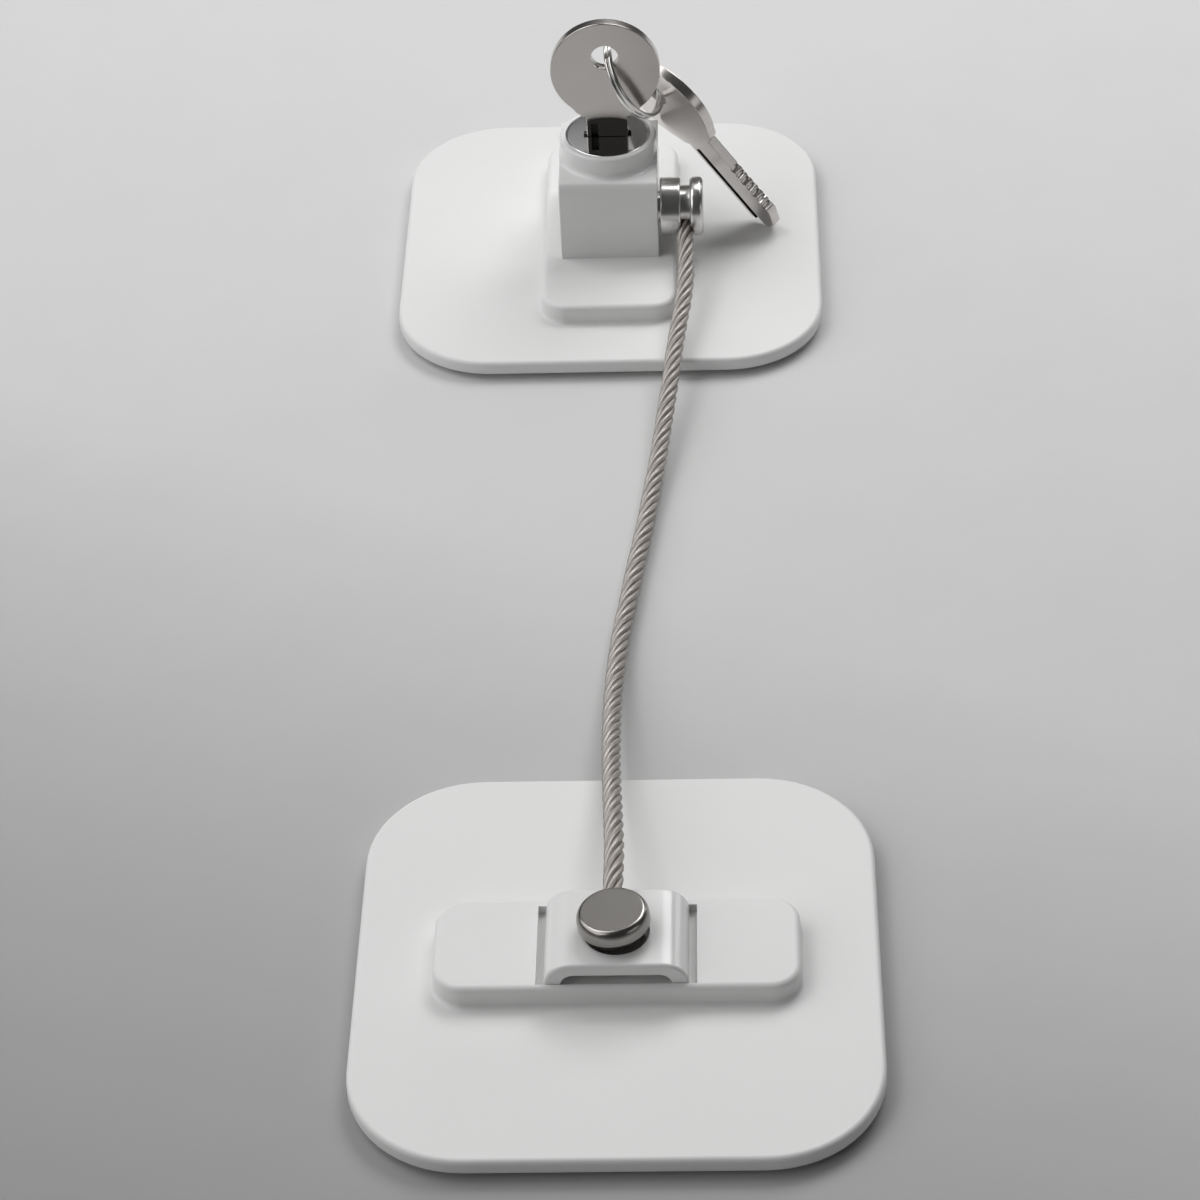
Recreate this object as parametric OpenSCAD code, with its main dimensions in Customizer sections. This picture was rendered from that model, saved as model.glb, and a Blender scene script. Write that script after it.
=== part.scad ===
// Refrigerator lock. A keyed housing stands on one adhesive plate and a swivelling
// anchor on another. A short wire rope joins them: one end is a stud that turns in
// the anchor, the other a latch pin that plugs into the housing.
// Millimetres, +Z up. The origin is the centre of the lock plate's adhesive face.

/* [Adhesive plates] */
// Side of each square plate
plate_side = 75; // [66:1:100]
// Plan radius of a plate's corners
plate_corner_r = 17; // [8:0.5:24]
// Thickness of a plate
plate_thick = 2.5; // [2.2:0.1:4]
// Radius of a plate's upper edge
plate_edge_r = 0.8; // [0.3:0.1:1]
// Thickness of the foam adhesive pad
pad_thick = 1; // [0.5:0.1:2]
// How far the pad stops inside the plate's edge
pad_inset = 1.5; // [0.5:0.5:5]
// Place of the anchor plate to the right of the lock plate
anchor_x = 3.5; // [-10:0.5:15]
// Place of the anchor plate in front of the lock plate
anchor_y = -180; // [-210:1:-160]

/* [Raised bars] */
// Length of the raised bar on each plate
bar_l = 52.4; // [46:0.2:58]
// Height of a bar above its plate
bar_rise = 3.5; // [3.2:0.1:5]
// Width of the lock plate's bar
lock_bar_w = 24; // [21:0.5:28]
// Width of the anchor plate's bar
anchor_bar_w = 18; // [17:0.5:22]
// Plan radius of a bar's corners
bar_corner_r = 4.5; // [3:0.5:6]
// Radius of a bar's upper edge
bar_edge_r = 1; // [0.5:0.1:1.4]
// Wall of a bar around its hollow underside
bar_wall = 2.2; // [1.6:0.1:2.6]

/* [Lock housing] */
// Width of the housing, across the latch pin's face
housing_w = 17.4; // [16.8:0.2:20]
// Depth of the housing
housing_d = 22.8; // [21:0.2:26]
// Height of the housing above the bar
housing_h = 16.2; // [15.4:0.1:20]
// Radius of the front and back shoulders
shoulder_r = 5.5; // [3:0.5:6]
// Radius of the small edges
housing_edge_r = 0.6; // [0.3:0.1:0.8]
// Outer radius of the collar around the lock's face
collar_r = 8.6; // [8.2:0.1:9.4]
// Height of the collar above the housing
collar_h = 2.7; // [2.2:0.1:4]

/* [Lock cylinder] */
// Radius of the plug's polished face
face_r = 7.4; // [7:0.1:7.8]
// Thickness of the plug's face disc
face_thick = 1.4; // [1:0.1:2]
// Radius of the plug where the wafers slide
barrel_r = 6; // [5.7:0.1:6.3]
// Radius of the plug's locking tail
tail_r = 4.9; // [4.7:0.1:5.2]
// Outer radius of the fixed sleeve
sleeve_r = 7.2; // [7:0.1:7.5]
// Length of the keyway on the face
keyway_l = 8.4; // [7.8:0.1:9.4]
// Number of wafers
wafer_count = 4; // [2:1:4]
// Thickness of a wafer
wafer_thick = 0.9; // [0.7:0.1:1]
// Room above and below the stack of wafers
wafer_end_room = 0.5; // [0.2:0.1:0.8]
// Width of a wafer
wafer_w = 3.4; // [3:0.1:4]
// How far a wafer springs out when the key leaves
wafer_travel = 0.5; // [0.2:0.1:0.6]

/* [Keys] */
// Radius of a key's round bow
bow_r = 9.6; // [8.4:0.1:10.4]
// Radius of the hole in the bow
bow_hole_r = 2.4; // [2.3:0.1:3]
// Height of that hole above the bow's centre
bow_hole_rise = 2.8; // [2.2:0.1:4]
// Thickness of a key
key_thick = 1.9; // [1.4:0.1:2]
// Width of a key's blade
blade_w = 7.3; // [6.2:0.1:7.4]
// Length of the neck that stays outside the lock
neck_l = 3.7; // [3:0.1:6]
// Length of the blade inside the lock
blade_l = 16.6; // [14:0.1:18]
// Mean radius of the split ring
ring_r = 8; // [7.8:0.1:9]
// Wire diameter of the split ring
ring_wire_d = 0.85; // [0.6:0.05:1]

/* [Latch pin and anchor stud] */
// Radius of the round heads
head_r = 5.2; // [4.4:0.1:5.4]
// Thickness of the heads
head_thick = 2.4; // [1.6:0.1:3.4]
// Width of the groove that the rope enters
groove_w = 1.6; // [1:0.1:2.6]
// Radius at the bottom of that groove
groove_r = 3.8; // [3:0.1:4.3]
// Thickness of the latch pin's flange behind the groove
flange_w = 3.6; // [3:0.1:5]
// Radius of the shanks
shank_r = 2.8; // [2.2:0.1:2.9]
// Radius of the latch pin's locking waist
waist_r = 1.3; // [0.9:0.1:1.6]
// Latch pin's axis in front of the lock's axis
pin_y = -6.6; // [-7.4:0.1:-6.4]
// Latch pin's axis below the plug's face disc
pin_drop = 9.9; // [9.2:0.1:11]

/* [Anchor bracket] */
// Width of the bracket
bracket_w = 20.6; // [19:0.2:26]
// Place of the bracket in front of the plate's centre
bracket_y = -0.45; // [-1:0.05:1]
// Depth of the bracket
bracket_d = 15.2; // [14:0.2:18]
// Height of the bracket above the bar
bracket_h = 3.5; // [3:0.1:5]
// Thickness of the bracket's roof
bracket_roof = 1.9; // [1.2:0.1:2.4]
// Thickness of the bracket's legs
bracket_leg = 2.4; // [1.8:0.1:3.2]
// Radius of the bracket's shoulders
bracket_shoulder_r = 3.8; // [1:0.1:3.9]
// Open groove beside each leg
pocket_gap = 1.1; // [0.3:0.1:2]
// Depth of the pocket that the bracket stands in
pocket_depth = 1; // [0.4:0.1:1.4]
// Lean of the stud to the left in its loose hole, in degrees
stud_lean = 5.5; // [0:0.5:9]
// Lean of the stud to the back, in degrees
stud_nod = 3; // [-6:0.5:6]
// Place of the stud in front of the plate's centre
stud_y = -1.15; // [-1.8:0.05:1]

/* [Rope] */
// Diameter of the wire rope
rope_d = 2.8; // [1.6:0.1:3]

/* [Hidden] */
$fn = 48;

// Clearances: turning fits, sliding fits, loose pieces, and the overrun of a cut
run_gap = 0.05;
slide_gap = 0.1;
loose_gap = 0.4;
over = 1;

// Heights
plate_top = pad_thick + plate_thick;
bar_top = plate_top + bar_rise;
hollow_top = bar_top - bar_wall;
housing_top = bar_top + housing_h;
rim_z = housing_top + collar_h;
face_z = rim_z - slide_gap;
disc_z = face_z - face_thick;
sleeve_top = disc_z - slide_gap;
tail_end = bar_top + loose_gap;
pin_z = disc_z - pin_drop;
// The wide barrel of the plug ends just above the latch pin
barrel_lift = 0.3;
barrel_z = pin_z + shank_r + loose_gap + barrel_lift;
barrel_l = disc_z - barrel_z;

// Latch pin along X: its flange stands just clear of the housing
pin_flange_x = housing_w / 2 + loose_gap;
pin_flat = -pin_y - shank_r - loose_gap;
waist_half = sqrt(pow(tail_r, 2) - pow(pin_flat, 2)) + run_gap;
pin_tip_x = -waist_half - shank_r;

// Sleeve foot, clip and stop sizes
foot_lip = 0.5;
foot_r = sleeve_r + foot_lip;
foot_h = 1.2;
clip_thick = 0.8;
plug_clip_z = tail_end + clip_thick;
clip_bite = 0.6;
clip_reach = 0.9;
clip_opening = 70;
plug_groove_r = tail_r - clip_bite;
plug_clip_r = tail_r + clip_reach;
clip_room_r = plug_clip_r + loose_gap;
face_edge_r = 0.3;
stop_angle = 34;
stop_half = 10;
stop_ease = 1;
turn = 90;
stop_h = 0.7;
stop_r = sleeve_r - 2 * slide_gap;

// Wafer stack
wafer_half = sqrt(pow(barrel_r, 2) - pow(wafer_w / 2, 2)) - run_gap;
wafer_pitch = (barrel_l - wafer_thick - 2 * wafer_end_room) / (wafer_count - 1);
wafer_z0 = barrel_z + wafer_end_room + wafer_thick / 2;
function wafer_z(i) = wafer_z0 + i * wafer_pitch;
spring_r = 0.38;
spring_l = 3;
spring_side = 0.15;
lug_l = 0.8;
pocket_y = wafer_w / 2 + 2 * (spring_r + spring_side);

// Housing screws
screw_r = 1.2;
screw_head_r = 2;
screw_head_h = 1.4;
screw_inset = 2.4;
screw_end = pin_z - shank_r - loose_gap;

// Key heights above the face's rim, and the place of the hole
bow_z = neck_l + bow_r;
hole_h = bow_z + bow_hole_rise;
key_edge_gap = 0.15;
first_cut = 3;
cut_pitch = 1.5;
cut_depths = [0.55, 0.35, 0.6, 0.4, 0.55, 0.3, 0.45];

// The split ring hangs low in the inserted key's hole, and the spare key on the ring
ring_turn = 38;
ring_dip = 45.5;
ring_roll = 42.5;
ring_seat = 0.2;
ring_side = 0.55;
ring_hang = [ring_side, 0, rim_z + hole_h - ring_seat];
ring_dir = [cos(ring_turn) * cos(ring_dip), sin(ring_turn) * cos(ring_dip), -sin(ring_dip)];
ring_far = ring_hang + 2 * ring_r * ring_dir;

// The spare key leans so that its tip comes to rest on the plate
spare_spin = -55;
spare_tilt = -12;
spare_tip_lift = 1.5;
spare_reach = hole_h + blade_l + ring_seat;
spare_drop = (ring_far[2] - plate_top - spare_tip_lift) / spare_reach / cos(spare_tilt);
spare_lean = acos(min(1, spare_drop));

// Anchor stud: it leans about a point in the middle of the bracket's roof, and its
// places along its own axis are measured from there
bracket_top = bar_top + bracket_h;
pocket_z = bar_top - pocket_depth;
stud_pivot = [anchor_x, anchor_y + stud_y, bracket_top - bracket_roof / 2];
stud_tilt = acos(cos(stud_lean) * cos(stud_nod));
stud_flange_r = groove_r + 0.3;
bracket_hole_r = stud_flange_r + 0.7;
// The flange stands just clear of the pocket's floor and ends just below the bracket's top
flange_floor_z = pocket_z + loose_gap / 2 + stud_flange_r * sin(stud_tilt);
stud_flange_s = (flange_floor_z - stud_pivot[2]) / cos(stud_tilt);
stud_flange_w = bracket_roof / 2 - run_gap - stud_flange_s;
stud_groove_r = shank_r - clip_bite;
stud_clip_r = shank_r + 2 * clip_reach;
stud_clip_opening = 80;
stud_bore_r = shank_r / cos(stud_tilt) + (stud_pivot[2] - hollow_top) * tan(stud_tilt) + loose_gap;
washer_r = stud_bore_r + 1.2;
washer_thick = 0.6;
// The clip hangs just under the washer, low enough for its leaning edge
clip_top_z = hollow_top - washer_thick - slide_gap - stud_clip_r * sin(stud_tilt);
stud_clip_s = (clip_top_z - stud_pivot[2]) / cos(stud_tilt) - clip_thick;
stud_end_s = stud_clip_s - 0.4;

// Bracket hooks
hook_thick = 1.4;
hook_w = 5;
hook_barb = 0.5;
hook_reach = 1.2;

// Rope route: from the latch pin's axis, down past the bar and the plate's edge, along the
// floor, and up over the anchor to the stud's axis
drawn_route = [
    [13.5, -6.6, 14.5], [13.5, -11, 12.2], [13.6, -17, 10.3], [13.3, -24, 8.7],
    [12.4, -31, 7.3], [11.5, -38, 6.2], [10.7, -46, 5], [9.8, -54, 3.8], [8.9, -62, 2.7],
    [8, -69, 2], [7.1, -76, 1.6], [6.2, -83, 1.5], [5.2, -90, 1.5], [4.2, -98, 1.5],
    [3.3, -105, 1.6], [2.6, -112, 1.9], [2.2, -119, 2.5], [2, -126, 3.5], [2, -133, 5],
    [2.1, -140, 6.6], [2.3, -147, 8.4], [2.6, -154, 10.1], [2.9, -161, 11.6],
    [3.1, -167, 12.4], [3.1, -171.5, 12.6], [3.1, -176, 12.5], [3.3, -181.1, 11.2]];
// Points beside the lock move with the latch pin, points over the anchor with the stud
drawn_stud = [3.5, -181.15, 10.5];
pin_rope_x = pin_flange_x + flange_w + groove_w / 2;
pin_move = [pin_rope_x, pin_y, pin_z] - drawn_route[0];
stud_move = [anchor_x, anchor_y + stud_y, bracket_top] - drawn_stud;
function share(y, none, whole) = max(0, min(1, (y - none) / (whole - none)));
route = [for (p = drawn_route)
    p + share(p[1], -38, -11) * pin_move + share(p[1], -69, -126) * stud_move];
rope_sides = 8;
rope_bore_r = rope_d / 2 + slide_gap;

// Half section of a slab, r out from its middle and h high, with rounded edges
module slab_profile(r, h, top_r, bottom_r = 0) {
    translate([0, bottom_r]) square([r, h - top_r - bottom_r]);
    square([r - bottom_r, h - top_r]);
    translate([0, bottom_r]) square([r - top_r, h - bottom_r]);
    translate([r - top_r, h - top_r]) circle(top_r);
    if (bottom_r > 0) translate([r - bottom_r, bottom_r]) circle(bottom_r);
}

// Whole section of a slab
module slab_section(half, h, top_r, bottom_r = 0) {
    slab_profile(half, h, top_r, bottom_r);
    mirror([1, 0]) slab_profile(half, h, top_r, bottom_r);
}

// Flat slab with round corners in plan and rounded edges
module rounded_slab(w, d, h, r, top_r, bottom_r = 0) {
    rotate([90, 0, 90])
        linear_extrude(w - 2 * r, center = true) slab_section(d / 2, h, top_r, bottom_r);
    for (side = [0, 1])
        mirror([side, 0, 0]) translate([w / 2 - r, 0, 0]) rotate([90, 0, 0])
            linear_extrude(d - 2 * r, center = true) slab_profile(r, h, top_r, bottom_r);
    for (x = [0, 1], y = [0, 1])
        mirror([x, 0, 0]) mirror([0, y, 0]) translate([w / 2 - r, d / 2 - r, 0])
            rotate_extrude(angle = 90) slab_profile(r, h, top_r, bottom_r);
}

// Flat outline with round corners
module rounded_rect(w, d, r) {
    square([w - 2 * r, d], center = true);
    square([w, d - 2 * r], center = true);
    for (x = [-1, 1], y = [-1, 1])
        translate([x * (w / 2 - r), y * (d / 2 - r)]) circle(r);
}

module at_anchor() {
    translate([anchor_x, anchor_y, 0]) children();
}

// The four places of the housing screws
module at_screws() {
    for (x = [-1, 1], y = [-1, 1])
        translate([x * (housing_w / 2 - screw_inset), y * (housing_d / 2 - screw_inset), 0]) children();
}

// Foam pad under a plate
module adhesive_pad() {
    side = plate_side - 2 * pad_inset;
    linear_extrude(pad_thick) rounded_rect(side, side, plate_corner_r - pad_inset);
}

// Moulded plate with its raised bar, which is hollow underneath
module base_plate(bar_x, bar_y) {
    bar_foot = pad_thick + plate_thick / 2;
    difference() {
        union() {
            translate([0, 0, pad_thick])
                rounded_slab(plate_side, plate_side, plate_thick, plate_corner_r,
                    plate_edge_r, plate_edge_r / 2);
            translate([0, 0, bar_foot])
                rounded_slab(bar_x, bar_y, bar_top - bar_foot, bar_corner_r, bar_edge_r);
        }
        translate([0, 0, pad_thick - over]) linear_extrude(hollow_top - pad_thick + over)
            rounded_rect(bar_x - 2 * bar_wall, bar_y - 2 * bar_wall, bar_corner_r - bar_wall + slide_gap);
    }
}

module lock_adhesive_pad() {
    color("gainsboro") adhesive_pad();
}

module lock_base_plate() {
    color("white") difference() {
        base_plate(lock_bar_w, bar_l);
        at_screws() translate([0, 0, hollow_top - over])
            cylinder(r = screw_r + slide_gap, h = bar_wall + 2 * over);
    }
}

// Block with round shoulders at front and back and small rounded side edges
module housing_block() {
    intersection() {
        rotate([90, 0, 90]) linear_extrude(housing_w + 2 * over, center = true)
            slab_section(housing_d / 2, housing_h, shoulder_r);
        rotate([90, 0, 0]) linear_extrude(housing_d + 2 * over, center = true)
            slab_section(housing_w / 2, housing_h, housing_edge_r);
        translate([0, 0, -over]) linear_extrude(housing_h + 2 * over)
            rounded_rect(housing_w, housing_d, housing_edge_r);
    }
}

module lock_housing() {
    collar_foot = housing_top - shoulder_r / 2;
    color("white") difference() {
        union() {
            translate([0, 0, bar_top]) housing_block();
            translate([0, 0, collar_foot]) rotate_extrude()
                slab_profile(collar_r, rim_z - collar_foot, housing_edge_r);
        }
        // Bore for the sleeve, seat for its foot and recess for the plug's face
        translate([0, 0, bar_top - over]) cylinder(r = sleeve_r + run_gap, h = housing_h + collar_h);
        translate([0, 0, bar_top - over]) cylinder(r = foot_r + run_gap, h = foot_h + run_gap + over);
        translate([0, 0, sleeve_top]) cylinder(r = face_r + slide_gap, h = face_thick + over);
        // Blind bore for the latch pin
        translate([pin_tip_x - loose_gap, pin_y, pin_z]) rotate([0, 90, 0])
            cylinder(r = shank_r + run_gap, h = housing_w);
        at_screws() translate([0, 0, bar_top - over]) cylinder(r = screw_r, h = screw_end - bar_top + over);
    }
}

module housing_screws() {
    color("silver") at_screws() {
        translate([0, 0, hollow_top]) cylinder(r = screw_r, h = screw_end - hollow_top);
        difference() {
            translate([0, 0, hollow_top - screw_head_h]) cylinder(r = screw_head_r, h = screw_head_h);
            for (quarter = [0, 90])
                translate([0, 0, hollow_top - screw_head_h]) rotate([0, 0, quarter])
                    cube([2 * screw_r, screw_r / 2, screw_head_h], center = true);
        }
    }
}

// Fixed sleeve: the plug turns in it, and its foot is clamped under the housing
module cylinder_sleeve() {
    bore = barrel_r + run_gap;
    tail_bore = tail_r + run_gap;
    clip_room_h = plug_clip_z + clip_thick + slide_gap - bar_top;
    color("darkgray") difference() {
        translate([0, 0, bar_top]) union() {
            cylinder(r = foot_r, h = foot_h);
            cylinder(r = sleeve_r, h = sleeve_top - bar_top);
        }
        translate([0, 0, barrel_z - run_gap]) cylinder(r = bore, h = barrel_l + over);
        translate([0, 0, bar_top - over]) cylinder(r = tail_bore, h = housing_h);
        translate([0, 0, bar_top - over]) cylinder(r = clip_room_r, h = clip_room_h + over);
        // Window for the latch pin
        translate([-housing_w / 2, pin_y, pin_z]) rotate([0, 90, 0])
            cylinder(r = shank_r + loose_gap, h = housing_w);
        // Slots that the wafers spring out into, at both ends of the quarter turn
        slot_x = wafer_half + wafer_travel + slide_gap;
        for (a = [0, turn])
            rotate([0, 0, a]) translate([-slot_x, -wafer_w / 2 - slide_gap, barrel_z])
                cube([2 * slot_x, wafer_w + 2 * slide_gap, barrel_l + over]);
        // Quarter-turn notch for the plug's stop
        translate([0, 0, sleeve_top - stop_h - slide_gap])
            rotate([0, 0, stop_angle - stop_half - stop_ease])
            rotate_extrude(angle = turn + 2 * (stop_half + stop_ease))
                translate([barrel_r, 0]) square([sleeve_r, stop_h + over]);
    }
}

// Turning plug: polished face, wafer barrel and a tail with one flat
module cylinder_plug() {
    color("silver") difference() {
        union() {
            translate([0, 0, disc_z]) rotate_extrude() slab_profile(face_r, face_thick, face_edge_r);
            translate([0, 0, barrel_z]) cylinder(r = barrel_r, h = barrel_l + run_gap);
            translate([0, 0, tail_end]) cylinder(r = tail_r, h = barrel_z - tail_end + run_gap);
            translate([0, 0, sleeve_top - stop_h]) rotate([0, 0, stop_angle - stop_half])
                rotate_extrude(angle = 2 * stop_half) translate([barrel_r - run_gap, 0])
                    square([stop_r - barrel_r, stop_h + 2 * slide_gap]);
        }
        // Keyway, longer where it opens on the face
        translate([0, 0, face_z])
            cube([keyway_l, key_thick + 2 * key_edge_gap, 2 * face_thick], center = true);
        translate([0, 0, tail_end - over]) linear_extrude(face_z - tail_end)
            square([blade_w + 2 * key_edge_gap, key_thick + 2 * key_edge_gap], center = true);
        // Flat that lets the latch pin pass
        translate([-tail_r, -tail_r - over, pin_z - shank_r - loose_gap])
            cube([2 * tail_r, tail_r + over - pin_flat, 2 * (shank_r + loose_gap)]);
        // Slots and spring pockets for the wafers
        for (i = [0 : wafer_count - 1]) {
            slot_h = wafer_thick + slide_gap;
            translate([0, 0, wafer_z(i)]) cube([2 * barrel_r, wafer_w + slide_gap, slot_h], center = true);
            translate([-spring_l / 2 - lug_l - wafer_travel, 0, wafer_z(i) - slot_h / 2])
                cube([spring_l + 2 * (lug_l + wafer_travel), pocket_y, slot_h]);
        }
        // Groove for the retaining clip
        translate([0, 0, plug_clip_z - run_gap]) difference() {
            cylinder(r = tail_r + over, h = clip_thick + 2 * run_gap);
            translate([0, 0, -over]) cylinder(r = plug_groove_r, h = clip_thick + 2 * over);
        }
    }
}

// Open spring clip around a groove
module open_clip(inner_r, outer_r, opening) {
    rotate([0, 0, opening / 2]) rotate_extrude(angle = 360 - opening)
        translate([inner_r, 0]) square([outer_r - inner_r, clip_thick]);
}

module plug_retaining_clip() {
    color("dimgray") translate([0, 0, plug_clip_z])
        open_clip(plug_groove_r + run_gap, plug_clip_r, clip_opening);
}

// Wafers alternate: even ones spring out to the right, odd ones to the left
function springs_right(i) = i % 2 == 0;

module wafer(i) {
    window_x = blade_w / 2 + key_edge_gap;
    window_y = key_thick / 2 + key_edge_gap;
    translate([0, 0, wafer_z(i) - wafer_thick / 2]) mirror([springs_right(i) ? 0 : 1, 0, 0])
        linear_extrude(wafer_thick) {
            difference() {
                square([2 * wafer_half, wafer_w], center = true);
                translate([-window_x - wafer_travel, -window_y])
                    square([2 * window_x + wafer_travel, 2 * window_y]);
            }
            // Lug that the spring pushes on
            translate([spring_l / 2, wafer_w / 2 - slide_gap]) square([lug_l, 2 * spring_r + slide_gap]);
        }
}

module right_wafers() {
    color("goldenrod") for (i = [0 : wafer_count - 1]) if (springs_right(i)) wafer(i);
}

module left_wafers() {
    color("goldenrod") for (i = [0 : wafer_count - 1]) if (!springs_right(i)) wafer(i);
}

// Each wafer's spring, drawn as the rod that its coils fill
module wafer_springs() {
    color("lightsteelblue") for (i = [0 : wafer_count - 1])
        mirror([springs_right(i) ? 0 : 1, 0, 0])
            translate([-spring_l / 2 - lug_l, wafer_w / 2 + spring_r + spring_side, wafer_z(i)])
                rotate([0, 90, 0])
                cylinder(r = spring_r, h = spring_l + lug_l - run_gap);
}

// Flat key: round bow with a hole, flared neck, grooved blade with cuts on one edge.
// Its zero is the level of the lock's rim.
module key() {
    half = blade_w / 2;
    tip_half = half / 3;
    tip_l = 3;
    flare = 1.6;
    mill_w = 1.3;
    groove_x = -half + 1.1 * mill_w;
    mill_depth = key_thick / 4;
    difference() {
        translate([0, key_thick / 2, 0]) rotate([90, 0, 0]) linear_extrude(key_thick) difference() {
            union() {
                translate([0, bow_z]) circle(bow_r);
                polygon([[-half - flare, neck_l + flare], [-half, neck_l - flare],
                    [-half, tip_l - blade_l], [-tip_half, -blade_l], [tip_half, -blade_l],
                    [half, tip_l - blade_l], [half, neck_l - flare], [half + flare, neck_l + flare]]);
            }
            translate([0, hole_h]) circle(bow_hole_r);
            for (i = [0 : len(cut_depths) - 1])
                translate([half, -first_cut - i * cut_pitch])
                    polygon([[0, cut_pitch / 2], [-cut_depths[i], cut_pitch / 6],
                        [-cut_depths[i], -cut_pitch / 6], [0, -cut_pitch / 2], [over, 0]]);
        }
        for (side = [-1, 1])
            translate([groove_x - mill_w / 2, side * key_thick / 2 - mill_depth, -blade_l - over])
                cube([mill_w, 2 * mill_depth, blade_l + neck_l]);
    }
}

module inserted_key() {
    color("rosybrown") translate([0, 0, rim_z]) key();
}

module spare_key() {
    color("rosybrown") translate(ring_far) rotate([spare_tilt, 0, 0]) rotate([0, -spare_lean, 0])
        rotate([0, 0, spare_spin]) translate([-ring_side, 0, -hole_h - ring_seat]) key();
}

// Two turns of wire, pressed together
module split_ring() {
    coil_half = 0.45 * ring_wire_d;
    color("lightgray") translate(ring_hang + ring_r * ring_dir)
        rotate([0, 0, ring_turn]) rotate([0, ring_dip, 0]) rotate([ring_roll, 0, 0]) rotate_extrude() {
            for (side = [-1, 1])
                translate([ring_r, side * coil_half]) circle(d = ring_wire_d);
        }
}

// Turned stud along +Z: flange, groove for the rope, and head. Its zero is the flange's lower face.
module stud_body(flange_r, flange_h) {
    head_edge_r = 0.8;
    small_edge_r = 0.3;
    rotate_extrude() slab_profile(flange_r, flange_h, small_edge_r, small_edge_r);
    translate([0, 0, flange_h / 2]) cylinder(r = groove_r, h = flange_h / 2 + groove_w + head_thick / 2);
    translate([0, 0, flange_h + groove_w]) rotate_extrude()
        slab_profile(head_r, head_thick, head_edge_r, small_edge_r);
}

// Bore for the rope's end, from one route point towards the next
module rope_bore(from, to) {
    way = to - from;
    rise = atan2(way[2], norm([way[0], way[1]]));
    translate(from) rotate([0, 0, atan2(way[1], way[0])]) rotate([0, 90 - rise, 0])
        translate([0, 0, -slide_gap]) cylinder(r = rope_bore_r, h = 2 * head_r);
}

module latch_pin() {
    nose = 0.6;
    color("silver") difference() {
        translate([pin_flange_x, pin_y, pin_z]) rotate([0, 90, 0]) {
            stud_body(head_r, flange_w);
            translate([0, 0, waist_half - pin_flange_x])
                cylinder(r = shank_r, h = pin_flange_x - waist_half + flange_w / 2);
            translate([0, 0, -waist_half - pin_flange_x - over])
                cylinder(r = waist_r, h = 2 * (waist_half + over));
            translate([0, 0, pin_tip_x - pin_flange_x]) rotate_extrude()
                polygon([[0, 0], [shank_r - nose, 0], [shank_r, nose], [shank_r, shank_r], [0, shank_r]]);
        }
        rope_bore(route[0], route[1]);
    }
}

module at_stud() {
    translate(stud_pivot) rotate([-stud_nod, -stud_lean, 0]) children();
}

module anchor_stud() {
    last = len(route) - 1;
    color("silver") difference() {
        at_stud() translate([0, 0, stud_flange_s]) {
            stud_body(stud_flange_r, stud_flange_w);
            difference() {
                translate([0, 0, stud_end_s - stud_flange_s])
                    cylinder(r = shank_r, h = stud_flange_s - stud_end_s + stud_flange_w / 2);
                translate([0, 0, stud_clip_s - stud_flange_s - run_gap]) difference() {
                    cylinder(r = shank_r + over, h = clip_thick + 2 * run_gap);
                    translate([0, 0, -over]) cylinder(r = stud_groove_r, h = clip_thick + 2 * over);
                }
            }
        }
        rope_bore(route[last], route[last - 1]);
    }
}

module stud_retaining_clip() {
    color("dimgray") at_stud() translate([0, 0, stud_clip_s])
        open_clip(stud_groove_r + run_gap, stud_clip_r, stud_clip_opening);
}

module stud_washer() {
    color("silver") translate([stud_pivot[0], stud_pivot[1], hollow_top - washer_thick]) difference() {
        cylinder(r = washer_r, h = washer_thick);
        translate([0, 0, -over]) cylinder(r = stud_bore_r, h = washer_thick + 2 * over);
    }
}

// One ring of the rope's tube, square to the way the route runs there
function way_at(i) =
    let (a = route[max(i - 1, 0)], b = route[min(i + 1, len(route) - 1)]) (b - a) / norm(b - a);
function rope_ring(i) =
    let (t = way_at(i), s = cross(t, [0, 0, 1]) / norm(cross(t, [0, 0, 1])), u = cross(s, t))
    [for (k = [0 : rope_sides - 1]) let (a = 360 * k / rope_sides)
        route[i] + rope_d / 2 * (cos(a) * s + sin(a) * u)];

module wire_rope() {
    rings = len(route);
    points = [for (i = [0 : rings - 1]) each rope_ring(i)];
    function corner(i, k) = i * rope_sides + k % rope_sides;
    sides = [for (i = [0 : rings - 2], k = [0 : rope_sides - 1]) each [
        [corner(i, k), corner(i, k + 1), corner(i + 1, k + 1)],
        [corner(i, k), corner(i + 1, k + 1), corner(i + 1, k)]]];
    start = [for (k = [1 : rope_sides - 2]) [corner(0, 0), corner(0, k + 1), corner(0, k)]];
    end = [for (k = [1 : rope_sides - 2])
        [corner(rings - 1, 0), corner(rings - 1, k), corner(rings - 1, k + 1)]];
    color("darkgray") polyhedron(points, concat(sides, start, end));
}

module anchor_adhesive_pad() {
    color("gainsboro") at_anchor() adhesive_pad();
}

// Place of a hook's outer face on the bracket's right leg
hook_x = bracket_w / 2 - bracket_leg / 2 + hook_thick / 2;

module anchor_base_plate() {
    pocket_w = bracket_w + 2 * pocket_gap;
    pocket_d = bracket_d + 2 * slide_gap;
    color("white") at_anchor() difference() {
        base_plate(bar_l, anchor_bar_w);
        translate([0, stud_y, hollow_top - over]) cylinder(r = stud_bore_r, h = bar_wall + 2 * over);
        translate([0, bracket_y, 0]) {
            translate([-pocket_w / 2, -pocket_d / 2, pocket_z])
                cube([pocket_w, pocket_d, pocket_depth + over]);
            for (side = [0, 1])
                mirror([side, 0, 0])
                    translate([hook_x - hook_thick - slide_gap, -hook_w / 2 - slide_gap, hollow_top - over])
                    cube([hook_thick + 2 * slide_gap, hook_w + 2 * slide_gap, bar_wall + 2 * over]);
        }
    }
}

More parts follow.
